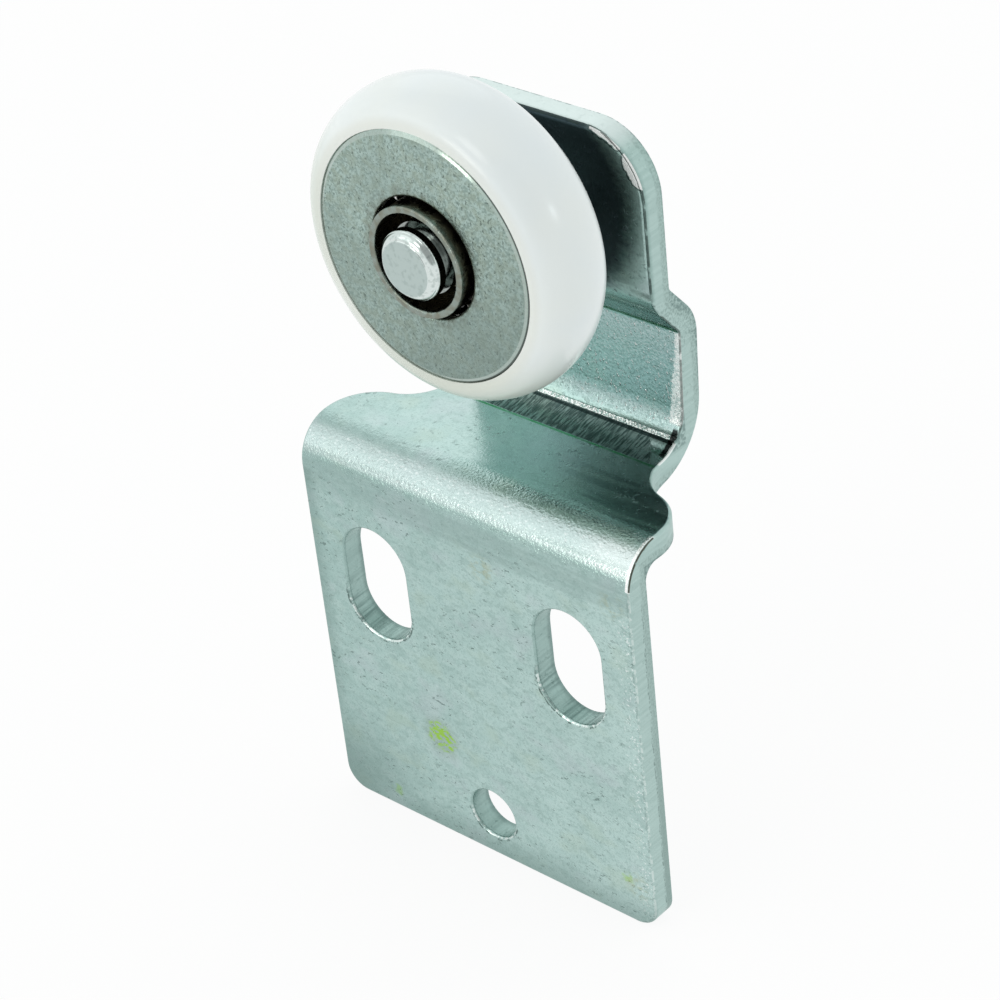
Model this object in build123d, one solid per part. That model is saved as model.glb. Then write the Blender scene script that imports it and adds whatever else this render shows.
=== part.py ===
"""Ball-bearing door roller on a pressed steel hanger bracket.

Frame, in millimetres: X runs across the door plate, +Y points into the door, +Z is up.
The origin lies on the back face of the door plate, midway between its two screw slots.
"""
from build123d import *
import math
import os

# Sheet of the bracket, and the flat plate that is screwed to the door
SHEET = 2.3
PLATE_WIDTH = 38.1
PLATE_BELOW_SLOTS = 26.4
PLATE_CORNER_R = 2.4
SLOT_WIDTH = 7.5
SLOT_LENGTH = 11.9
SLOT_SPACING = 22.7
PILOT_R = 2.6
PILOT_BELOW_SLOTS = 21.6
EDGE_ROLL = 0.3

# Bends of the strip, from the fold over the door to the plate that carries the wheel
SHELF_HEIGHT = 14.6
SHELF_FALL = 0.3
FOLD_INNER_R = 1.5
FOLD_OUTER_R = 4.0
HEEL_SETBACK = 14.1
HEEL_INNER_R = 3.6
HEEL_OUTER_R = 6.7
HEEL_LEAN = 0.5
JOGGLE_LOW = 25.6
JOGGLE_RISE = 3.9
JOGGLE_INNER_R = 0.8
JOGGLE_OUTER_R = 4.6
CARRIER_SETBACK = 11.3
CARRIER_ABOVE_AXLE = 7.75
CARRIER_CORNER_R = 6.0

# Outline of the shoulders, where the wide plate runs into the narrow neck
NECK_WIDTH = 24.8
SHOULDER_START = 2.2
NECK_START = 11.1
SHOULDER_SHARE = 0.53

# Wheel: axial sizes are measured from its middle plane
AXLE_HEIGHT = 37.6
WHEEL_STANDOFF = 9.8
WHEEL_R = 14.45
TYRE_SIDE_R = 11.85
TYRE_HALF_WIDTH = 4.1
COVER_R = 11.5
COVER_BORE_R = 5.55
COVER_FACE = 4.2
COVER_SHEET = 0.8
COVER_BEVEL = 0.45
RING_R = 9.8
RING_LAND = 1.0

# Ball race
BALL_R = 1.5875
BALL_COUNT = 12
BALL_CLEARANCE = 0.03
GROOVE_FACTOR = 1.05
CONE_WALL_R = 5.1
CONE_SHEET = 0.64
CONE_CORNER_R = 1.0
CONE_LIP = 5.15

# Axle rivet and the spacer behind the wheel
SHANK_R = 2.5
SHANK_CLEARANCE = 0.04
COLLAR_R = 3.3
COLLAR_FACE = 4.0
GROOVE_WIDTH = 0.85
TIP_R = 3.2
TIP_LAND = 0.75
TIP_FACE_R = 2.5
TIP_HEIGHT = 0.7
STAKE_R = 4.3
STAKE_HEIGHT = 1.3
SPACER_R = 4.1

# Places that follow from the sizes above
carrier_top = AXLE_HEIGHT + CARRIER_ABOVE_AXLE
wheel_y = CARRIER_SETBACK - WHEEL_STANDOFF
on_axle = Pos(0, wheel_y, AXLE_HEIGHT) * Rot(90, 0, 0)
corner_reach = CONE_CORNER_R + BALL_R + BALL_CLEARANCE
pitch_r = CONE_WALL_R - CONE_CORNER_R + math.sqrt(corner_reach**2 - CONE_CORNER_R**2)
cover_back = COVER_FACE - COVER_SHEET


def offset_corners(corners):
    """The corners of one face of the strip, moved one sheet towards its other face."""
    runs = [(end - start).normalized() for start, end in zip(corners, corners[1:])]
    across = [Vector(run.Y, -run.X) for run in runs]
    mitres = [(a + b) / (1 + a.dot(b)) for a, b in zip(across, across[1:])]
    return [corner + SHEET * way for corner, way in zip(corners, [across[0], *mitres, across[-1]])]


def strip_profile():
    """Side view of the bent strip. The sheet is thinner round the heel, where it was drawn."""
    front = [
        Vector(-SHEET, -PLATE_BELOW_SLOTS),
        Vector(-SHEET, SHELF_HEIGHT),
        Vector(HEEL_SETBACK, SHELF_HEIGHT - SHELF_FALL),
        Vector(HEEL_SETBACK + HEEL_LEAN, JOGGLE_LOW),
        Vector(CARRIER_SETBACK, JOGGLE_LOW + JOGGLE_RISE),
        Vector(CARRIER_SETBACK, carrier_top),
    ]
    back = offset_corners(front)
    front_radii = [FOLD_OUTER_R, HEEL_INNER_R, JOGGLE_INNER_R, JOGGLE_OUTER_R]
    back_radii = [FOLD_INNER_R, HEEL_OUTER_R, JOGGLE_OUTER_R, JOGGLE_INNER_R]
    faces = [FilletPolyline(*front, radius=front_radii), FilletPolyline(*back, radius=back_radii)]
    ends = [Line(front[0], back[0]), Line(front[-1], back[-1])]
    return Plane.YZ * make_face(Curve() + faces + ends)


def plan_outline():
    """Top view of the blank: the wide plate, an S-curved shoulder on each side and the neck."""
    wide, narrow = PLATE_WIDTH / 2, NECK_WIDTH / 2
    front = -2 * SHEET
    back = HEEL_SETBACK + HEEL_LEAN + 2 * SHEET
    start, end = Vector(wide, SHOULDER_START), Vector(narrow, NECK_START)
    middle = start + (end - start) * SHOULDER_SHARE
    shoulder = TangentArc(start, middle, tangent=(0, 1))
    side = [
        Line((wide, front), start),
        shoulder,
        TangentArc(middle, end, tangent=shoulder % 1),
        Line(end, (narrow, back)),
    ]
    other_side = [mirror(edge, Plane.YZ) for edge in side]
    ends = [Line((-wide, front), (wide, front)), Line((-narrow, back), (narrow, back))]
    return make_face(Curve() + side + other_side + ends)


def bracket():
    """The whole hanger: one pressed strip with its slots and holes."""
    body = extrude(strip_profile(), PLATE_WIDTH / 2, both=True)
    body &= Pos(0, 0, -PLATE_BELOW_SLOTS) * extrude(plan_outline(), PLATE_BELOW_SLOTS + carrier_top)
    across = body.edges().filter_by(Axis.Y).sort_by(Axis.Z)
    body = fillet(across[:2], PLATE_CORNER_R)
    across = body.edges().filter_by(Axis.Y).sort_by(Axis.Z)
    body = fillet(across[-2:], CARRIER_CORNER_R)
    slot = extrude(Plane.XZ * SlotOverall(SLOT_LENGTH, SLOT_WIDTH, rotation=90), 2 * SHEET, both=True)
    for x in (-SLOT_SPACING / 2, SLOT_SPACING / 2):
        body -= Pos(x, 0, 0) * slot
    drill = Rot(90, 0, 0) * Cylinder(PILOT_R, 4 * SHEET)
    body -= Pos(0, 0, -PILOT_BELOW_SLOTS) * drill
    axle_hole = Rot(90, 0, 0) * Cylinder(SHANK_R + SHANK_CLEARANCE, 4 * SHEET)
    body -= Pos(0, CARRIER_SETBACK, AXLE_HEIGHT) * axle_hole
    front = body.faces().filter_by(Axis.Y).sort_by(Axis.Y)[0]
    punched_rim = front.edges().sort_by(Axis.Z)[:-1]
    return fillet(punched_rim, EDGE_ROLL)


def turned(section):
    """A section drawn as (radius, distance in front of the wheel plane), spun about the axle."""
    return on_axle * revolve(Plane.XZ * section, Axis.Z)


def tyre():
    """Crowned plastic tread, with a seat for the ring and one for each cover."""
    crown = EllipticalCenterArc(
        (TYRE_SIDE_R, 0), WHEEL_R - TYRE_SIDE_R, TYRE_HALF_WIDTH, start_angle=-90, arc_size=180
    )
    inside = Polyline(
        (TYRE_SIDE_R, TYRE_HALF_WIDTH),
        (COVER_R, TYRE_HALF_WIDTH),
        (COVER_R, cover_back),
        (RING_R, cover_back),
        (RING_R, -cover_back),
        (COVER_R, -cover_back),
        (COVER_R, -TYRE_HALF_WIDTH),
        (TYRE_SIDE_R, -TYRE_HALF_WIDTH),
    )
    return turned(make_face(Curve() + [crown, inside]))


def cover():
    """Front bearing cover: a flat disc with a bevelled rim and a rounded bore."""
    disc = Polyline(
        (COVER_BORE_R, cover_back),
        (COVER_R, cover_back),
        (COVER_R, COVER_FACE - COVER_BEVEL / 2),
        (COVER_R - COVER_BEVEL, COVER_FACE),
        (COVER_BORE_R, COVER_FACE),
        close=True,
    )
    section = make_face(disc)
    bore_rim = section.vertices().sort_by(Axis.X)[:2].sort_by(Axis.Y)[-1]
    return turned(fillet(bore_rim, COVER_SHEET / 3))


def bearing_ring():
    """Outer race: a ring whose bore carries the ball groove."""
    groove_r = BALL_R * GROOVE_FACTOR
    groove_floor = pitch_r + BALL_R + BALL_CLEARANCE
    blank = make_face(Polyline(
        (pitch_r + RING_LAND, -cover_back),
        (RING_R, -cover_back),
        (RING_R, cover_back),
        (pitch_r + RING_LAND, cover_back),
        close=True,
    ))
    return turned(blank - Pos(groove_floor - groove_r, 0) * Circle(groove_r))


def cone():
    """Front half of the inner race: a pressed cup whose corner the balls run on."""
    inner_wall = CONE_WALL_R - CONE_SHEET
    wall = make_face(Polyline(
        (SHANK_R + SHANK_CLEARANCE, 0),
        (CONE_WALL_R, 0),
        (CONE_WALL_R, CONE_LIP),
        (inner_wall, CONE_LIP),
        (inner_wall, CONE_SHEET),
        (SHANK_R + SHANK_CLEARANCE, CONE_SHEET),
        close=True,
    ))
    heel = wall.vertices().sort_by_distance((CONE_WALL_R, 0))[0]
    wall = fillet(heel, CONE_CORNER_R)
    throat = wall.vertices().sort_by_distance((inner_wall, CONE_SHEET))[0]
    wall = fillet(throat, CONE_CORNER_R - CONE_SHEET)
    lip = wall.vertices().sort_by(Axis.Y)[-2:]
    return turned(fillet(lip, CONE_SHEET / 4))


def axle_rivet():
    """Turned rivet: stepped tip, groove, collar, shank and the head staked behind the bracket."""
    groove_front = COLLAR_FACE + GROOVE_WIDTH
    tip_shoulder = groove_front + TIP_LAND
    stake = -(WHEEL_STANDOFF + SHEET)
    outline = Polyline(
        (0, stake - STAKE_HEIGHT),
        (STAKE_R - STAKE_HEIGHT, stake - STAKE_HEIGHT),
        (STAKE_R, stake - STAKE_HEIGHT / 3),
        (STAKE_R, stake),
        (SHANK_R, stake),
        (SHANK_R, CONE_SHEET),
        (COLLAR_R, CONE_SHEET),
        (COLLAR_R, COLLAR_FACE),
        (TIP_FACE_R, COLLAR_FACE),
        (TIP_FACE_R, groove_front),
        (TIP_R, groove_front),
        (TIP_R, tip_shoulder),
        (TIP_FACE_R, tip_shoulder + TIP_HEIGHT),
        (0, tip_shoulder + TIP_HEIGHT),
        close=True,
    )
    section = make_face(outline)
    shoulder = section.vertices().sort_by_distance((TIP_R, tip_shoulder))[0]
    section = fillet(shoulder, TIP_LAND / 3)
    return turned(section)


def spacer():
    """Sleeve on the shank that holds the inner race off the bracket."""
    back = -WHEEL_STANDOFF
    section = make_face(Polyline(
        (SHANK_R + SHANK_CLEARANCE, back),
        (SPACER_R, back),
        (SPACER_R, -CONE_SHEET),
        (SHANK_R + SHANK_CLEARANCE, -CONE_SHEET),
        close=True,
    ))
    return turned(section)


def ball(index):
    """One ball of the full ring of balls."""
    angle = 360 * index / BALL_COUNT
    return on_axle * Rot(0, 0, angle) * Pos(pitch_r, 0, 0) * Sphere(BALL_R)


def rear(piece):
    """The matching piece on the far side of the wheel plane."""
    return mirror(piece, Plane((0, wheel_y, 0), z_dir=(0, 1, 0)))


nodes = {
    "bracket": bracket(),
    "tyre": tyre(),
    "bearing_ring": bearing_ring(),
    "cover_front": cover(),
    "cover_rear": rear(cover()),
    "cone_front": cone(),
    "cone_rear": rear(cone()),
    "axle_rivet": axle_rivet(),
    "spacer": spacer(),
}
for index in range(BALL_COUNT):
    nodes[f"ball_{index + 1:02d}"] = ball(index)

os.makedirs("parts", exist_ok=True)
for name, shape in nodes.items():
    export_step(shape, f"parts/{name}.step")
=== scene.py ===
"""Looks of the door roller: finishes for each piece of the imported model, a studio and a camera."""
import math

import bpy
from mathutils import Matrix, Vector


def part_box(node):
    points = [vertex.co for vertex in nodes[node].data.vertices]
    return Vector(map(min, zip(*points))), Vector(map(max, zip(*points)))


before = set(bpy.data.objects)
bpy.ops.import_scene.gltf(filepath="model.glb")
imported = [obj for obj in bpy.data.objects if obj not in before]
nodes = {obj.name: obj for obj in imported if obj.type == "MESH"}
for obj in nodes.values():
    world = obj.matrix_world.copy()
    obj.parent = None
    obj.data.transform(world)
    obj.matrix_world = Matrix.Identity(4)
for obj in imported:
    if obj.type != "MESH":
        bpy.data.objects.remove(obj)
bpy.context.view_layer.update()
bpy.ops.object.select_all(action="DESELECT")


# Bracket
# One strip of steel, blanked, punched and bent, then barrel-plated with pale zinc.
# The plating is satin, with a fine grain, dark specks, a few stains and sheared edges.
class Link:
    """A socket of a material's nodes, so that shader maths reads as plain maths."""

    def __init__(self, tree, socket):
        self.tree = tree
        self.socket = socket

    def node(self, kind, settings=None, inputs=None, output=0):
        """A new node of this tree, with its settings made first and then its sockets."""
        made = self.tree.nodes.new("ShaderNode" + kind)
        for name, value in (settings or {}).items():
            setattr(made, name, value)
        for name, value in (inputs or {}).items():
            if isinstance(value, Link):
                self.tree.links.new(value.socket, made.inputs[name])
            else:
                made.inputs[name].default_value = value
        return Link(self.tree, made.outputs[output])

    def math(self, operation, *others):
        inputs = {place: value for place, value in enumerate((self,) + others)}
        return self.node("Math", {"operation": operation}, inputs)

    def __add__(self, other):
        return self.math("ADD", other)

    def __radd__(self, other):
        return self.math("ADD", other)

    def __sub__(self, other):
        return self.math("SUBTRACT", other)

    def __rsub__(self, other):
        return (self * -1.0) + other

    def __mul__(self, other):
        return self.math("MULTIPLY", other)

    def __truediv__(self, other):
        return self.math("DIVIDE", other)

    def __abs__(self):
        return self.math("ABSOLUTE")

    def least(self, other):
        return self.math("MINIMUM", other)

    def most(self, other):
        return self.math("MAXIMUM", other)

    def step(self, start, end):
        """0 at start, 1 at end, and smooth between them; start may be the larger."""
        settings = {"interpolation_type": "SMOOTHSTEP"}
        return self.node("MapRange", settings, {"Value": self, "From Min": start, "From Max": end})

    def within(self, low, high, soft):
        """1 from low to high, fading out over a soft distance on each side."""
        return self.step(low - soft, low) * self.step(high + soft, high)

    def noise(self, scale, detail=3.0, stretch=(1, 1, 1)):
        """Noise from 0 to 1 over these coordinates; a larger stretch makes it finer on that axis."""
        where = self.node("Mapping", None, {"Vector": self, "Scale": stretch})
        return self.node("TexNoise", None, {"Vector": where, "Scale": scale, "Detail": detail})

    def mix(self, tint, amount):
        """This colour run into another, plain or patterned, by an amount from 0 to 1."""
        tint = tint if isinstance(tint, Link) else (*tint, 1)
        return self.node("Mix", {"data_type": "RGBA"}, {"Factor": amount, 6: self, 7: tint}, 2)

    def coat(self, tint):
        """A plain first coat in one colour, in the same material as this link."""
        made = self.node("RGB")
        made.socket.default_value = (*tint, 1)
        return made

    def from_point(self, place):
        """Distance of these coordinates from one point."""
        return self.node("VectorMath", {"operation": "DISTANCE"}, {0: self, 1: place}, 1)

    def axes(self):
        """The three numbers of these coordinates."""
        parts = self.node("SeparateXYZ", None, {"Vector": self})
        return [Link(self.tree, parts.socket.node.outputs[axis]) for axis in "XYZ"]


def corner_distance(across, up):
    """Distance from an inner corner that counts only outside it, for the outline of a rounded form."""
    across, up = across.most(0.0), up.most(0.0)
    return (across * across + up * up).math("SQRT")


def new_finish(name):
    """A material with its shader, and this object's coordinates in millimetres."""
    material = bpy.data.materials.new(name)
    material.use_nodes = True
    tree = material.node_tree
    place = Link(tree, tree.nodes.new("ShaderNodeTexCoord").outputs["Object"])
    where = place.node("VectorMath", {"operation": "SCALE"}, {"Vector": place, "Scale": 1000})
    return material, tree.nodes["Principled BSDF"], where


def join(link, shader, name):
    """Leads a link to one socket of the shader."""
    link.tree.links.new(link.socket, shader.inputs[name])


def emboss(height, shader, normal=None):
    """Relief in millimetres on the shader, over the mesh's own normal or a given one."""
    inputs = {"Height": height, "Strength": 1.0, "Distance": 0.001}
    if normal:
        inputs["Normal"] = normal
    join(height.node("Bump", None, inputs), shader, "Normal")


def dress(node, material):
    """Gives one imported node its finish."""
    nodes[node].data.materials.clear()
    nodes[node].data.materials.append(material)


# The strip's sizes in millimetres, by which its finishes are laid out
SHEET = 2.3
PLATE_SIDE = 19.05
PLATE_FOOT = -26.4
PLATE_CORNER = 2.4
SLOT_PLACE = 11.35
SLOT_REACH = 2.2
SLOT_RADIUS = 3.75
PILOT_HEIGHT = -21.6
PILOT_RADIUS = 2.6
SHELF_TOP = 14.6
NECK_SIDE = 12.4
NECK_TOP = 45.35
NECK_CORNER = 6.0
NECK_FRONT = 14.35
CARRIER_FRONT = 11.3
JOGGLE_FOOT = 25.6
JOGGLE_TOP = 29.5

material, shader, where = new_finish("zinc_plating")
x, y, z = where.axes()
side, ahead, above = where.node("TexCoord", output="Normal").axes()
width = abs(x)
right_half = x.step(0.0, 1.0)

# Distance from the nearest cut edge, on the plate with its holes and on the neck
slot_rim = corner_distance(abs(width - SLOT_PLACE), abs(z) - SLOT_REACH) - SLOT_RADIUS
pilot_rim = corner_distance(width, abs(z - PILOT_HEIGHT)) - PILOT_RADIUS
plate_rim = PLATE_CORNER - corner_distance(
    width - (PLATE_SIDE - PLATE_CORNER), (PLATE_FOOT + PLATE_CORNER) - z
)
plate_rim = plate_rim.least(slot_rim).least(pilot_rim)
neck_rim = NECK_CORNER - corner_distance(width - (NECK_SIDE - NECK_CORNER), z - (NECK_TOP - NECK_CORNER))
FAR = 99.0
rim = (plate_rim + y.step(2.0, 2.6) * FAR).least(neck_rim + y.step(11.2, 10.6) * FAR)

# Depth into the sheet, from 0 on the front of the plate, shelf and neck to 1 on their back
joggled_front = y - NECK_FRONT + z.step(JOGGLE_FOOT, JOGGLE_TOP) * (NECK_FRONT - CARRIER_FRONT)
depth = ((y + SHEET) / SHEET).least((SHELF_TOP - z) / SHEET).most(joggled_front / SHEET)

# The sheared edges, and the front faces without them
flat_part = z.step(9.0, 8.5).most(z.step(30.0, 30.5))
sheared = abs(side).step(0.2, 0.4).most(abs(ahead).step(0.35, 0.15) * flat_part)
turned = abs(side).step(0.80, 0.93).most(abs(ahead).step(0.60, 0.37) * flat_part)
lip = (1.0 - turned) * depth.step(0.6, 0.5)
face = (1.0 - sheared) * depth.step(0.3, 0.2)

# The stretches of the strip, from the plate up to the carrier; around runs through the heel's bend
plate = y.step(-1.9, -2.2) * z.step(11.0, 10.0)
on_plate = z.step(10.0, 8.0)
bend = (z - 10.6) / 4.0
fold = y.step(2.6, 1.2) * z.step(9.4, 11.4)
shelf = y.step(1.0, 2.4) * y.step(11.0, 10.0) * z.step(13.4, 14.0)
around = y + z - 28.4
heel = corner_distance(abs(y - 10.5), abs(z - 17.9)).step(4.2, 4.1)
facet_end = (11.9 - (y - 10.0) * 0.79 - x).step(-0.15, 0.15)
facet = around.within(-3.75, -0.3, 0.12) * heel * facet_end
burr_line = around.within(0.05, 0.5, 0.15) * heel
belly = around.step(0.6, 1.2) * y.step(13.4, 13.9) * z.step(25.6, 25.3) * depth.step(0.7, 0.5)
belly_height = z.within(16.6, 25.3, 0.3)
carrier = z.step(29.6, 30.4) * y.step(11.9, 11.5)

# Plating: it drifts between two greys, is paler to the right, and has fine dark and light flecks
LEFT_ZINC = (0.37, 0.53, 0.50)
RIGHT_ZINC = (0.47, 0.635, 0.605)
DRIFTED_ZINC = (0.33, 0.48, 0.45)
PATCHED_ZINC = (0.50, 0.65, 0.62)
CLOUDED_ZINC = (0.28, 0.41, 0.38)
GRAINED_ZINC = (0.20, 0.31, 0.29)
BLUISH_ZINC = (0.47, 0.55, 0.57)
GREENISH_ZINC = (0.42, 0.54, 0.44)
PIT = (0.09, 0.15, 0.14)
GLINT = (0.66, 0.78, 0.76)
drift = where.noise(0.16, 4, (1, 1, 1.6)).step(0.35, 0.68)
patch = where.noise(0.75, 3, (1, 1, 1.5)).step(0.38, 0.7)
cloud = where.noise(1.5, 4, (0.8, 1, 1.3)).step(0.5, 0.66)
grain = where.noise(4.2, 4)
hue = where.noise(0.22, 3, (1, 1, 1.4))
tone = where.coat(LEFT_ZINC).mix(RIGHT_ZINC, x.step(-24.0, 22.0))
tone = tone.mix(DRIFTED_ZINC, drift * 0.5).mix(PATCHED_ZINC, patch * 0.35)
tone = tone.mix(CLOUDED_ZINC, cloud * 0.4).mix(GRAINED_ZINC, grain.step(0.48, 0.68) * 0.3)
tone = tone.mix(BLUISH_ZINC, hue.step(0.52, 0.70) * 0.35)
tone = tone.mix(GREENISH_ZINC, hue.step(0.44, 0.28) * 0.3)
tilted = where.node("Mapping", None, {"Vector": where, "Rotation": (0, math.radians(14), 0)})
slanted = where.node("Mapping", None, {"Vector": where, "Rotation": (0, math.radians(-24), 0)})
crowd = where.noise(0.13, 2).step(0.42, 0.62)
dashes = tilted.noise(1.9, 4, (0.8, 1, 1.6)).step(0.635, 0.69)
dashes = dashes.most(slanted.noise(1.3, 4, (0.9, 1, 1.9)).step(0.65, 0.69))
dashes = dashes * (crowd * 0.6 + 0.4) * (1.0 - belly * 0.7)
glints = where.noise(3.0, 3, (0.8, 1, 1.4)).step(0.67, 0.73) * (1.0 - shelf)
tone = tone.mix(PIT, dashes * 0.58).mix(GLINT, glints * 0.3)

# Long hairline scratches, and more of them in the band just under the fold
HAIRLINE = (0.16, 0.24, 0.22)
hairline = slanted.noise(1.7, 2, (0.2, 1, 5.0)).step(0.68, 0.72)
scratched = where.noise(0.21, 2).step(0.5, 0.62).most(z.within(4.5, 8.5, 2.0) * 0.7)
tone = tone.mix(HAIRLINE, hairline * scratched * 0.5)

# Stains of yellow chromate in a dull ring, and faint brown ones by the right slot
CHROMATE = (0.30, 0.56, 0.035)
DULL_RING = (0.28, 0.38, 0.31)
BROWN_STAIN = (0.38, 0.41, 0.26)
STAIN_PLACE = (-5.5, -SHEET, -15.0)
SPOT_PLACES = ((-12.3, -SHEET, -24.2), (16.0, -SHEET, -21.5))
BROWN_PLACES = ((17.0, -SHEET, 9.0), (17.2, -SHEET, -22.0), (2.2, -SHEET, 7.0))
blot = where.noise(1.5, 5, (0.7, 1, 1.3))
crust = where.noise(2.8, 5, (0.8, 1, 1.2)).step(0.45, 0.55)
from_stain = where.from_point(STAIN_PLACE) + (blot - 0.5) * 1.6
from_spot = where.from_point(SPOT_PLACES[0]).least(where.from_point(SPOT_PLACES[1]))
from_brown = where.from_point(BROWN_PLACES[0])
for place in BROWN_PLACES[1:]:
    from_brown = from_brown.least(where.from_point(place))
stain = from_stain.step(1.9, 1.2) * crust
stain = stain.most((from_spot + (blot - 0.5) * 2.0).step(0.75, 0.35) * 0.6) * plate
browned = (from_brown + (blot - 0.5) * 5.0).step(2.4, 0.8) * blot.step(0.45, 0.62)
tone = tone.mix(DULL_RING, from_stain.step(2.8, 1.2) * 0.5)
tone = tone.mix(CHROMATE, stain * 0.9).mix(BROWN_STAIN, browned * 0.55)

# The fold carries a painted highlight with painted sparkle, most at its right end, between a band of
# painted shade with fine lines under it and the shelf
FOLD_FOOT_SHADE = (0.24, 0.35, 0.33)
PAINTED_FOLD_HIGHLIGHT = (0.54, 0.635, 0.63)
PAINTED_FOLD_END_HIGHLIGHT = (0.85, 0.90, 0.89)
PAINTED_FOLD_SPARKLE = (0.90, 0.94, 0.94)
FINE_LINE = (0.27, 0.38, 0.36)
under_fold = y.step(0.5, -0.5)
fold_highlight = bend.within(0.44, 0.80, 0.14) * fold
fold_sparkle = fold_highlight * where.noise(4.6, 3, (0.6, 1, 1)).step(0.54, 0.74)
lines = where.noise(1.0, 2, (0.08, 2.0, 2.6)).step(0.42, 0.6) * z.within(8.5, 12.6, 0.8) * under_fold
tone = tone.mix(FOLD_FOOT_SHADE, z.within(9.2, 11.4, 1.2) * under_fold * 0.3)
tone = tone.mix(PAINTED_FOLD_HIGHLIGHT, fold_highlight * 0.7).mix(PAINTED_FOLD_END_HIGHLIGHT, fold_highlight * x.step(11.5, 17.0) * 0.4)
tone = tone.mix(PAINTED_FOLD_SPARKLE, fold_sparkle * 0.45).mix(FINE_LINE, lines * 0.3)

# The shelf and the fold's top are paler on the left as a painted reflection, painted shade darkens the
# shelf and belly to the right, and the shelf's right end keeps long dark streaks
PAINTED_SHELF_REFLECTION = (0.55, 0.65, 0.66)
SHADED_ZINC = (0.33, 0.43, 0.45)
STREAK = (0.07, 0.15, 0.155)
shelf_and_fold = shelf.most(bend.step(0.86, 0.96) * fold)
streaks = where.noise(0.85, 2, (0.12, 1.2, 1)).step(0.44, 0.60) * y.within(1.8, 7.0, 0.8) * shelf
tone = tone.mix(PAINTED_SHELF_REFLECTION, shelf_and_fold * x.step(5.0, -8.0) * 0.15)
tone = tone.mix(SHADED_ZINC, shelf.most(belly) * x.step(-4.0, 2.0) * 0.45)
tone = tone.mix(STREAK, streaks * x.step(3.0, 12.0) * 0.5)

# The heel: a facet darkened by painted shade and slanting drag marks, a black line of painted shadow, a
# burr line lit by a painted highlight, and verdigris at its foot
FACET_SHADE_AND_DRAG = (0.055, 0.10, 0.095)
HEEL_CREASE_SHADOW = (0.02, 0.04, 0.04)
BURR_HIGHLIGHT = (0.93, 0.97, 0.96)
VERDIGRIS = (0.05, 0.33, 0.13)
drag_ways = {"X": x + y * 0.137 - z * 0.906, "Y": y * 0.05, "Z": around * 0.12}
drag = where.node("CombineXYZ", None, drag_ways).noise(5.0, 3).step(0.39, 0.61)
heel_foot = around.within(-4.05, -3.9, 0.1) * heel.most(z.step(14.9, 14.6)) * y.step(9.0, 9.6)
joggle_line = z.within(25.65, 26.0, 0.15) * y.step(16.0, 15.5)
tone = tone.mix(FACET_SHADE_AND_DRAG, facet * (0.38 + drag * 0.52 + x.step(-2.0, 5.0) * 0.06))
tone = tone.mix(HEEL_CREASE_SHADOW, around.within(-0.5, -0.05, 0.12) * heel * 0.9)
tone = tone.mix(BURR_HIGHLIGHT, burr_line * grain.step(0.42, 0.52))
tone = tone.mix(VERDIGRIS, heel_foot.most(joggle_line) * (patch * 0.4 + 0.6))

# Painted shade and dark reflection of the wheel on the carrier around the axle, and painted glints and
# dull grain on the belly below it
PAINTED_WHEEL_SHADE = (0.02, 0.035, 0.05)
WHEEL_SHADE_HEIGHT = 37.9
BELLY_GLINT = (0.97, 0.99, 0.99)
BELLY_GRAIN = (0.22, 0.34, 0.32)
wheel_shade = corner_distance(width, abs(z - WHEEL_SHADE_HEIGHT)) + (blot - 0.5) * 1.5
peel_marks = tilted.noise(2.9, 2, (1.5, 1, 0.8))
tone = tone.mix(PAINTED_WHEEL_SHADE, wheel_shade.step(12.0, 9.3) * carrier * 0.92)
tone = tone.mix(BELLY_GLINT, peel_marks.step(0.62, 0.70) * belly * x.step(-8.0, 10.0))
tone = tone.mix(BELLY_GRAIN, grain.step(0.46, 0.6) * belly * 0.5)

# Cut edges: a bright sheared land at the front, then a darker broken band at the back
LAND = (0.46, 0.61, 0.58)
LAND_STREAK = (0.36, 0.50, 0.47)
TORN = (0.40, 0.54, 0.51)
TORN_LOW = (0.26, 0.37, 0.345)
TORN_GRAIN = (0.28, 0.39, 0.365)
BREAK_LINE = (0.08, 0.13, 0.12)
LIT_TOP_EDGE = (0.72, 0.80, 0.79)
EDGE_LINE = (0.13, 0.21, 0.20)
JOGGLE_EDGE_SHADE = (0.20, 0.30, 0.28)
streak = where.noise(3.2, 3, (1, 0.06, 1)).step(0.3, 0.7)
nicked = where.noise(2.4, 4)
ragged = depth + where.noise(1.1, 4, (1, 0.5, 1)) * 0.24
break_line = ragged.within(0.74, 0.78, 0.03) * on_plate * grain.step(0.4, 0.6)
edge_lines = depth.step(0.06, 0.0).most(depth.step(0.92, 0.99)) * nicked.step(0.40, 0.56)
torn = where.coat(TORN).mix(TORN_LOW, on_plate * (0.15 + z.step(0.0, -20.0) * 0.55))
torn = torn.mix(TORN_GRAIN, grain.step(0.42, 0.62) * 0.6)
cut = where.coat(LAND).mix(LAND_STREAK, streak * 0.6).mix(torn, ragged.step(0.74, 0.86))
cut = cut.mix(BREAK_LINE, break_line * 0.5)
# Painted highlight: the up-facing top edges of the carrier are much paler
cut = cut.mix(LIT_TOP_EDGE, above.step(0.7, 0.95) * z.step(30.0, 40.0) * 0.85)
cut = cut.mix(EDGE_LINE, edge_lines * (1.0 - on_plate) * 0.6)
# Painted shade on the cut edges by the joggle
cut = cut.mix(JOGGLE_EDGE_SHADE, grain.step(0.46, 0.62) * z.within(24.8, 28.5, 1.5) * 0.45)

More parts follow.
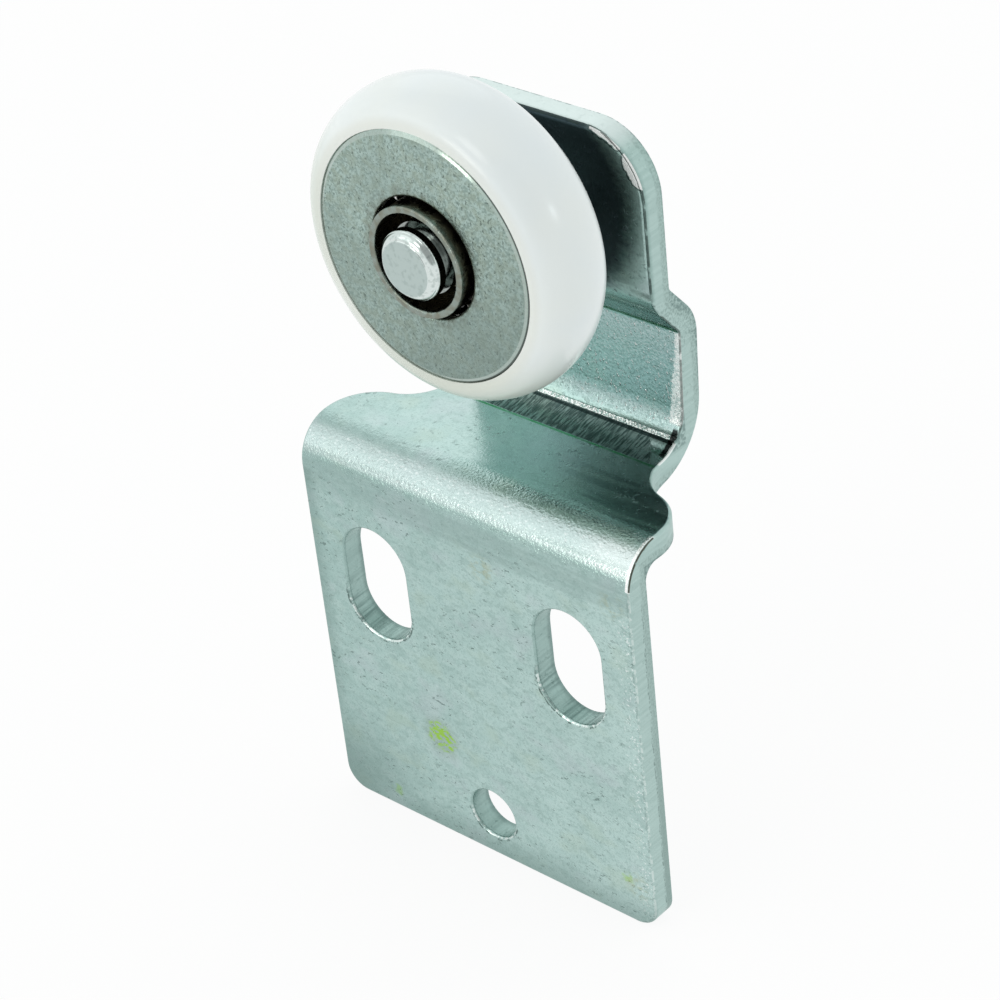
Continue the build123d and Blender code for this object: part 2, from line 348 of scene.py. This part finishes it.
# Walls of the punched holes, streaked by the punch and darker at the back
WALL = (0.36, 0.51, 0.48)
WALL_STREAK = (0.15, 0.24, 0.225)
WALL_BACK = (0.12, 0.19, 0.18)
in_hole = abs(slot_rim).least(abs(pilot_rim)).step(0.3, 0.2) * on_plate
streaked = streak * streak * (0.25 + width.step(4.0, 6.0) * z.step(0.0, -3.5) * 0.6)
wall = where.coat(WALL).mix(WALL_STREAK, streaked).mix(WALL_BACK, ragged.step(0.85, 1.05) * 0.5)
tone = tone.mix(cut.mix(wall, in_hole * 0.85), sheared)

# Rolled rims of the plate: a painted highlight and a dark broken line on the low side of each hole and
# at the right, and painted sparkle near the right edge
RIM_HIGHLIGHT = (0.85, 0.92, 0.90)
RIM_DARK_LINE = (0.06, 0.10, 0.09)
SPARKLE = (0.88, 0.94, 0.93)
broken = where.noise(0.8, 4)
low_slot = z.step(-0.8, -2.6) * slot_rim.step(1.0, 0.6)
low_pilot = (z - PILOT_HEIGHT).step(0.3, -0.8) * pilot_rim.step(1.0, 0.6)
low_side = low_slot + low_pilot
low_rims = low_side.most(x.step(17.0, 17.8)) * plate.most(fold) * lip
bright_line = (rim + (nicked - 0.5) * 0.4).within(0.05, 0.20, 0.06) * nicked.step(0.46, 0.56)
dark_line = (rim + (broken - 0.5) * 0.4).within(0.22, 0.34, 0.07) * nicked.step(0.53, 0.45)
sparkle = where.noise(4.5, 2).step(0.58, 0.70) * x.step(16.4, 18.4) * z.step(10.0, 6.0) * face
tone = tone.mix(RIM_HIGHLIGHT, bright_line * low_rims * (0.4 + low_side * 0.4))
tone = tone.mix(RIM_DARK_LINE, dark_line * low_rims * (0.25 + low_side * 0.55))
tone = tone.mix(SPARKLE, sparkle * 0.7)

# The plate darkens towards its foot, its left edge and the corner between them
DARKER_FOOT = (0.15, 0.24, 0.22)
low = z.step(-20.5, PLATE_FOOT)
darkened = (low * low * 0.55).most((x + PLATE_SIDE).step(2.2, 0.2) * 0.4)
darkened = darkened.most(where.from_point((-19, -SHEET, PLATE_FOOT)).step(15, 0) * 0.75)
tone = tone.mix(DARKER_FOOT, darkened * plate)

# Right end of the fold: a brown line along the cut, then a bright one
FOLD_BROWN = (0.05, 0.04, 0.02)
NEAR_WHITE = (0.98, 0.99, 0.98)
right_fold = fold.step(0.5, 0.9) * right_half
fold_end = rim * right_fold + (1.0 - right_fold) * 9.0
tone = tone.mix(FOLD_BROWN, fold_end.within(0.0, 0.13, 0.03) * lip * 0.9)
tone = tone.mix(NEAR_WHITE, fold_end.within(0.20, 0.42, 0.04) * lip * 0.9)

# Right rim of the neck: a grainy painted highlight on its rolled edge that widens down the belly, with a
# dark line outside
BELLY_RIM_HIGHLIGHT = (0.97, 1.0, 0.99)
NECK_LINE = (0.05, 0.08, 0.07)
rim_width = 0.6 + z.step(25.0, 17.0) * 0.75 + (grain - 0.5) * 0.9
belly_rim_highlight = (rim_width - neck_rim).step(-0.05, 0.10) * belly_height * right_half * lip
belly_rim_highlight = belly_rim_highlight * (0.55 + where.noise(4.5, 2, (1, 1, 0.6)).step(0.40, 0.56) * 0.45)
neck_line = neck_rim.within(0.0, 0.16, 0.04) * broken.step(0.40, 0.5) * z.step(15.6, 16.2) * lip
tone = tone.mix(BELLY_RIM_HIGHLIGHT, belly_rim_highlight).mix(NECK_LINE, neck_line * 0.7)

# Two burrs at the carrier's right corner, painted white as their highlight, each with a dark line along
# its foot
BURR_FOOT = (0.03, 0.05, 0.05)
LONG_BURR = (8.6, CARRIER_FRONT, 44.7)
THICK_BURR = (11.3, CARRIER_FRONT, 42.2)
thick = where.from_point(LONG_BURR).step(2.0, 1.0) * 0.3
thick = thick.most(where.from_point(THICK_BURR).step(1.9, 0.8) * 0.8)
reach = thick + 0.1 - neck_rim + (nicked - 0.5) * 0.6
burred = thick.step(0.02, 0.1) * lip
burr = reach.step(0.0, 0.12) * burred
tone = tone.mix(BURR_FOOT, reach.within(-0.16, -0.04, 0.05) * burred * 0.75).mix(NEAR_WHITE, burr)

# Right end of the heel: a black crescent of painted dark reflection under a rim of painted highlight
CRESCENT = (0.01, 0.01, 0.01)
HEEL_RIM_HIGHLIGHT = (0.95, 0.97, 0.96)
heel_end = heel * right_half
crescent = (neck_rim + (nicked - 0.5) * 0.4).within(0.25, 0.75, 0.1) * around.within(-2.2, 1.2, 0.4)
heel_rim_highlight = neck_rim.within(0.0, 0.3, 0.05) * around.within(-3.4, -0.4, 0.3) * lip
tone = tone.mix(CRESCENT, crescent * heel_end * 0.95).mix(HEEL_RIM_HIGHLIGHT, heel_rim_highlight * heel_end * 0.8)

join(tone, shader, "Base Color")
join(1.0 - burr.most(belly_rim_highlight) * 0.7, shader, "Metallic")
rough = 0.14 + grain * 0.10 + dashes * 0.2 + sheared * 0.26 + facet * 0.1 + carrier * 0.28
join(rough, shader, "Roughness")

# Relief in millimetres: peel on the fold and belly, drag marks, and the roll of the neck's edges
peel = where.noise(4.0, 3)
pits = peel_marks.step(0.6, 0.78)
relief = grain * 0.010 + peel * (fold * 0.060 + belly * 0.030 + burr_line * 0.10)
relief = relief + pits * belly * 0.05 + drag * facet * 0.03 + streak * sheared * 0.012
belly_roll = (rim_width - 0.3 - neck_rim).most(0.0) * belly_height
carrier_roll = (3.2 - neck_rim).most(0.0) * z.step(29.8, 31.0)
burr_roll = (0.5 - neck_rim).most(0.0) * z.step(31.0, 33.0)
rolls = belly_roll * belly_roll * 0.12 + carrier_roll * carrier_roll * 0.045
rolls = rolls + burr_roll * burr_roll * 1.2
relief = relief - rolls * face - dashes * (1.0 - shelf) * 0.02
emboss(relief, shader)
dress("bracket", material)


# Tyre
# Crowned tread moulded from white nylon, smooth and a little waxy, pressed over the outer race.
# It is slightly creamy at the shoulder and cooler on the crown, with faint moulding ripples.
AXLE_HEIGHT = 37.6
WHEEL_MIDDLE = 1.5
COOL_NYLON = (0.82, 0.87, 0.885)
WARM_NYLON = (0.85, 0.885, 0.87)
SHADED_NYLON = (0.52, 0.585, 0.505)
CREAMY_NYLON = (0.72, 0.72, 0.64)
material, shader, where = new_finish("white_nylon")
x, y, z = where.axes()
radius = corner_distance(abs(x), abs(z - AXLE_HEIGHT))
cloud = where.noise(0.10, 2).step(0.3, 0.7)
# Painted shade: darker towards the bottom and the left
painted_shade_low_left = (z.step(33.0, 23.5) * 0.85).most(x.step(-8.0, -14.0) * 0.6)
shoulder = radius.step(12.8, 11.9) * abs(y - WHEEL_MIDDLE).step(3.4, 4.0)
nylon = where.coat(COOL_NYLON).mix(WARM_NYLON, cloud)
nylon = nylon.mix(SHADED_NYLON, painted_shade_low_left).mix(CREAMY_NYLON, shoulder * 0.4)
join(nylon, shader, "Base Color")
join(0.17 + cloud * 0.05, shader, "Roughness")
emboss(where.noise(0.35, 2) * 0.006 + where.noise(3.0, 2) * 0.0012, shader)
dress("tyre", material)


# Covers
# Two thin discs blanked from zinc-plated sheet, pressed into the tyre on each side of the balls.
# Their plating is grey-green and speckled like salt and pepper, darker and brown at the bore.
COVER_ZINC = (0.40, 0.525, 0.485)
SPECKLE = (0.20, 0.28, 0.25)
MOTTLE = (0.30, 0.37, 0.30)
PALE_SPECKLE = (0.50, 0.62, 0.58)
WIDE_CLOUD = (0.23, 0.31, 0.285)
PEPPER = (0.06, 0.09, 0.08)
BORE_BROWN = (0.12, 0.12, 0.09)
SHADED_SIDE = (0.15, 0.20, 0.18)
BRIGHT_RIM = (0.48, 0.56, 0.52)
RIM_SHADE = (0.04, 0.05, 0.045)
CREVICE_SHADOW = (0.05, 0.06, 0.05)
material, shader, where = new_finish("cover_zinc")
x, y, z = where.axes()
radius = corner_distance(abs(x), abs(z - AXLE_HEIGHT))
speckle = where.noise(4.2, 3).step(0.40, 0.62)
mottle = where.noise(1.1, 3).step(0.40, 0.62)
pepper = where.noise(3.6, 3, (1, 1, 0.7)).step(0.62, 0.69)
near_bore = (radius + where.noise(1.2, 3) * 1.4).step(7.6, 5.9)
# Painted shade: darker towards the lower right
shaded_side = (x * 0.5 - z + AXLE_HEIGHT).step(-6.0, 12.0)
rim = radius.step(11.0, 11.08)
# Painted shade in the rim's bevel on the right
rim_shade = radius.step(11.24, 11.34) * x.step(1.0, 6.0)
tone = where.coat(COVER_ZINC).mix(SPECKLE, speckle * 0.7).mix(MOTTLE, mottle * 0.55)
tone = tone.mix(PALE_SPECKLE, where.noise(3.3, 2).step(0.58, 0.70) * 0.45)
tone = tone.mix(WIDE_CLOUD, where.noise(0.09, 2).step(0.44, 0.6) * 0.35).mix(PEPPER, pepper * 0.6)
tone = tone.mix(BORE_BROWN, near_bore * where.noise(1.6, 4).step(0.35, 0.6) * 0.7)
tone = tone.mix(SHADED_SIDE, shaded_side * 0.42).mix(BRIGHT_RIM, rim * 0.6)
# Painted shadow: a broken dark line where the rim meets the tyre
tone = tone.mix(RIM_SHADE, rim_shade * 0.85).mix(CREVICE_SHADOW, radius.step(11.42, 11.46) * mottle * 0.7)
join(tone, shader, "Base Color")
shader.inputs["Metallic"].default_value = 1.0
join(0.22 + speckle * 0.10 - rim * 0.12, shader, "Roughness")
emboss((speckle * 0.006 + mottle * 0.010 - pepper * 0.02) * (1.0 - rim), shader)
dress("cover_front", material)
dress("cover_rear", material)


# Races
# Pressed cones and outer ring of hardened steel, under a film of old oil.
# The lips are worn grey, and deeper down the oil has turned brown and dark.
OLD_OIL = (0.13, 0.125, 0.10)
WORN_LIP = (0.27, 0.32, 0.29)
BROWN_OIL = (0.17, 0.14, 0.08)
material, shader, where = new_finish("oiled_race")
x, y, z = where.axes()
wear = where.noise(1.3, 4).step(0.35, 0.65)
race_lip = abs(y - WHEEL_MIDDLE).step(4.6, 5.0)
join(where.coat(OLD_OIL).mix(WORN_LIP, race_lip).mix(BROWN_OIL, wear * 0.45), shader, "Base Color")
shader.inputs["Metallic"].default_value = 1.0
join(0.2 + wear * 0.18, shader, "Roughness")
bump = where.node("Bump", None, {"Height": wear, "Strength": 0.3, "Distance": 0.0001})
join(bump, shader, "Normal")
for node in ("cone_front", "cone_rear", "bearing_ring"):
    dress(node, material)


# Balls
# Twelve bearing balls of hardened steel, polished, with a smear of the same oil.
POLISHED_STEEL = (0.72, 0.72, 0.71)
OIL_SMEAR = (0.42, 0.37, 0.27)
material, shader, where = new_finish("polished_ball")
smear = where.noise(0.9, 3).step(0.45, 0.7)
join(where.coat(POLISHED_STEEL).mix(OIL_SMEAR, smear * 0.6), shader, "Base Color")
shader.inputs["Metallic"].default_value = 1.0
join(0.06 + smear * 0.14, shader, "Roughness")
for node in nodes:
    if node.startswith("ball_"):
        dress(node, material)


# Axle rivet and spacer
# Turned from bright bar and plated. The tip's flat face is satin and pale, its sides are bright,
# and the far end is staked over behind the bracket.
TIP_FACE_RADIUS = 2.5
TIP_BRIGHT = (0.68, 0.75, 0.73)
TIP_SATIN = (0.47, 0.56, 0.54)
RIVET_CLOUD = (0.30, 0.38, 0.36)
STAKED_HEAD = (0.34, 0.45, 0.42)
OILED_SHANK = (0.10, 0.10, 0.09)
material, shader, where = new_finish("turned_steel")
x, y, z = where.axes()
up = z - AXLE_HEIGHT
radius = corner_distance(abs(x), abs(up))
turning = radius.node("TexNoise", {"noise_dimensions": "1D"}, {"W": radius, "Scale": 7.0})
lathe = y.node("TexNoise", {"noise_dimensions": "1D"}, {"W": y, "Scale": 5.0})
tip_face = y.step(-4.65, -4.75) * radius.step(TIP_FACE_RADIUS, 2.42)
shank = y.step(-3.0, -2.2) * y.step(6.0, 5.0)
tone = where.coat(TIP_BRIGHT).mix(TIP_SATIN, tip_face)
tone = tone.mix(RIVET_CLOUD, where.noise(2.4, 4).step(0.48, 0.68) * 0.45)
tone = tone.mix(STAKED_HEAD, y.step(13.0, 14.0) * 0.8).mix(OILED_SHANK, shank * 0.85)
join(tone, shader, "Base Color")
shader.inputs["Metallic"].default_value = 1.0
join(0.10 + tip_face * 0.16 + where.noise(2.0, 3) * 0.06, shader, "Roughness")

# The tip's taper is shaded as a dome that leans further out towards its rim
TAPER_WIDTH = 0.65
taper = y.step(-4.05, -4.15) * radius.step(2.52, 2.56) * radius.step(3.12, 3.05)
out = (radius - TIP_FACE_RADIUS) / TAPER_WIDTH
lean = out * out * 2.2 + 0.25
dome = where.node("CombineXYZ", None, {"X": x / radius * lean, "Y": -1.0, "Z": up / radius * lean})
to_world = {"vector_type": "NORMAL", "convert_from": "OBJECT", "convert_to": "WORLD"}
dome = dome.node("VectorTransform", to_world, {"Vector": dome})
rounded = where.node("NewGeometry", output="Normal").mix(dome, taper)
relief = turning * tip_face * 0.004 + lathe * 0.004 + where.noise(0.8, 2) * 0.02
emboss(relief, shader, rounded)
dress("axle_rivet", material)
dress("spacer", material)


# Studio
# A white floor that keeps the shadow, a pale room, and soft lights of a low, even strength.
def white_for_eyes(tree, shade, white):
    """Runs a shader into plain white where the camera or a mirror looks at it."""
    path = tree.nodes.new("ShaderNodeLightPath")
    seen = Link(tree, path.outputs["Is Camera Ray"])
    for name in ("Is Glossy Ray", "Is Transmission Ray"):
        seen = seen.most(Link(tree, path.outputs[name]))
    glow = seen.node("Emission")
    mixed = seen.node("MixShader", None, {0: seen * white, 1: Link(tree, shade), 2: glow})
    return mixed.socket


FLOOR_SIZE = 6.0
FLOOR_WHITE = 0.9
PAPER_WHITE = (0.95, 0.95, 0.95, 1)
floor_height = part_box("bracket")[0].z
bpy.ops.mesh.primitive_plane_add(size=FLOOR_SIZE, location=(0, 0, floor_height))
floor = bpy.context.object
floor.name = "floor"
paper = bpy.data.materials.new("floor_paper")
paper.use_nodes = True
tree = paper.node_tree
matt = tree.nodes["Principled BSDF"]
matt.inputs["Base Color"].default_value = PAPER_WHITE
matt.inputs["Roughness"].default_value = 0.9
floor_surface = tree.nodes["Material Output"].inputs["Surface"]
tree.links.new(white_for_eyes(tree, matt.outputs[0], FLOOR_WHITE), floor_surface)
floor.data.materials.append(paper)

# The room is even and pale, darker only high behind the camera and a little at its ceiling
ROOM_TINT = (0.97, 1.0, 0.99)
ROOM_STRENGTH = 0.96
DARK_SIDE, DARKER_BY = (0.58, -0.60, 0.55), 0.55
CEILING, CEILING_DARKER_BY = (-0.3, 0.1, 0.95), 0.08
WHITE = (1, 1, 1)
world = bpy.data.worlds.new("room")
world.use_nodes = True
bpy.context.scene.world = world
tree = world.node_tree
room = tree.nodes["Background"]
gaze = Link(tree, tree.nodes.new("ShaderNodeTexCoord").outputs["Generated"])
eyes = Link(tree, tree.nodes.new("ShaderNodeLightPath").outputs["Is Camera Ray"])
dark_side = gaze.node("VectorMath", {"operation": "DOT_PRODUCT"}, {0: gaze, 1: DARK_SIDE}, 1)
ceiling = gaze.node("VectorMath", {"operation": "DOT_PRODUCT"}, {0: gaze, 1: CEILING}, 1)
strength = ROOM_STRENGTH - dark_side.step(0.70, 0.95) * DARKER_BY
strength = strength - ceiling.step(0.75, 0.98) * CEILING_DARKER_BY
join(strength.most(eyes), room, "Strength")
join(eyes.coat(ROOM_TINT).mix(WHITE, eyes), room, "Color")

LAMP_AIM = (0, 0, 0.02)


def softbox(name, place, size, radiance, tint=WHITE):
    """A round area light of an even brightness that faces the middle of the part."""
    light = bpy.data.lights.new(name, "AREA")
    light.shape = "DISK"
    light.size = size
    light.energy = radiance * math.pi * math.pi * size * size / 4
    light.color = tint
    lamp = bpy.data.objects.new(name, light)
    bpy.context.scene.collection.objects.link(lamp)
    lamp.location = place
    lamp.rotation_euler = (Vector(LAMP_AIM) - lamp.location).to_track_quat("-Z", "Y").to_euler()


softbox("front_left", (-0.38, -0.36, 0.40), 0.50, 0.25)
softbox("back_left", (-0.38, 0.39, 0.38), 0.50, 0.30)
softbox("window", (-0.335, -0.40, 0.225), 0.26, 0.34, (1.0, 0.99, 0.97))
softbox("key", (0.01, -0.43, 0.45), 0.20, 2.2, (1.0, 0.98, 0.95))
softbox("warm_spot", (-0.17, -0.54, 0.12), 0.19, 2.6, (1.0, 0.96, 0.88))
softbox("cool_spot", (0.47, 0.10, 0.21), 0.05, 12.0, (0.88, 0.96, 1.0))


# Camera
# A long lens above and to the right of the front, rolled a little, as in the photograph.
LENS = 113.18
CAMERA_PLACE = (0.16102, -0.16180, 0.16307)
CAMERA_AZIMUTH = 44.294
CAMERA_ELEVATION = 33.523
CAMERA_ROLL = -6.434
CLIP_START = 0.01

camera = bpy.data.objects.new("camera", bpy.data.cameras.new("camera"))
bpy.context.scene.collection.objects.link(camera)
camera.data.lens = LENS
camera.data.clip_start = CLIP_START
turn = Matrix.Rotation(math.radians(CAMERA_AZIMUTH), 4, "Z")
tilt = Matrix.Rotation(math.radians(90 - CAMERA_ELEVATION), 4, "X")
roll = Matrix.Rotation(math.radians(CAMERA_ROLL), 4, "Z")
camera.matrix_world = Matrix.Translation(CAMERA_PLACE) @ turn @ tilt @ roll
bpy.context.scene.camera = camera
bpy.context.scene.view_settings.view_transform = "Standard"
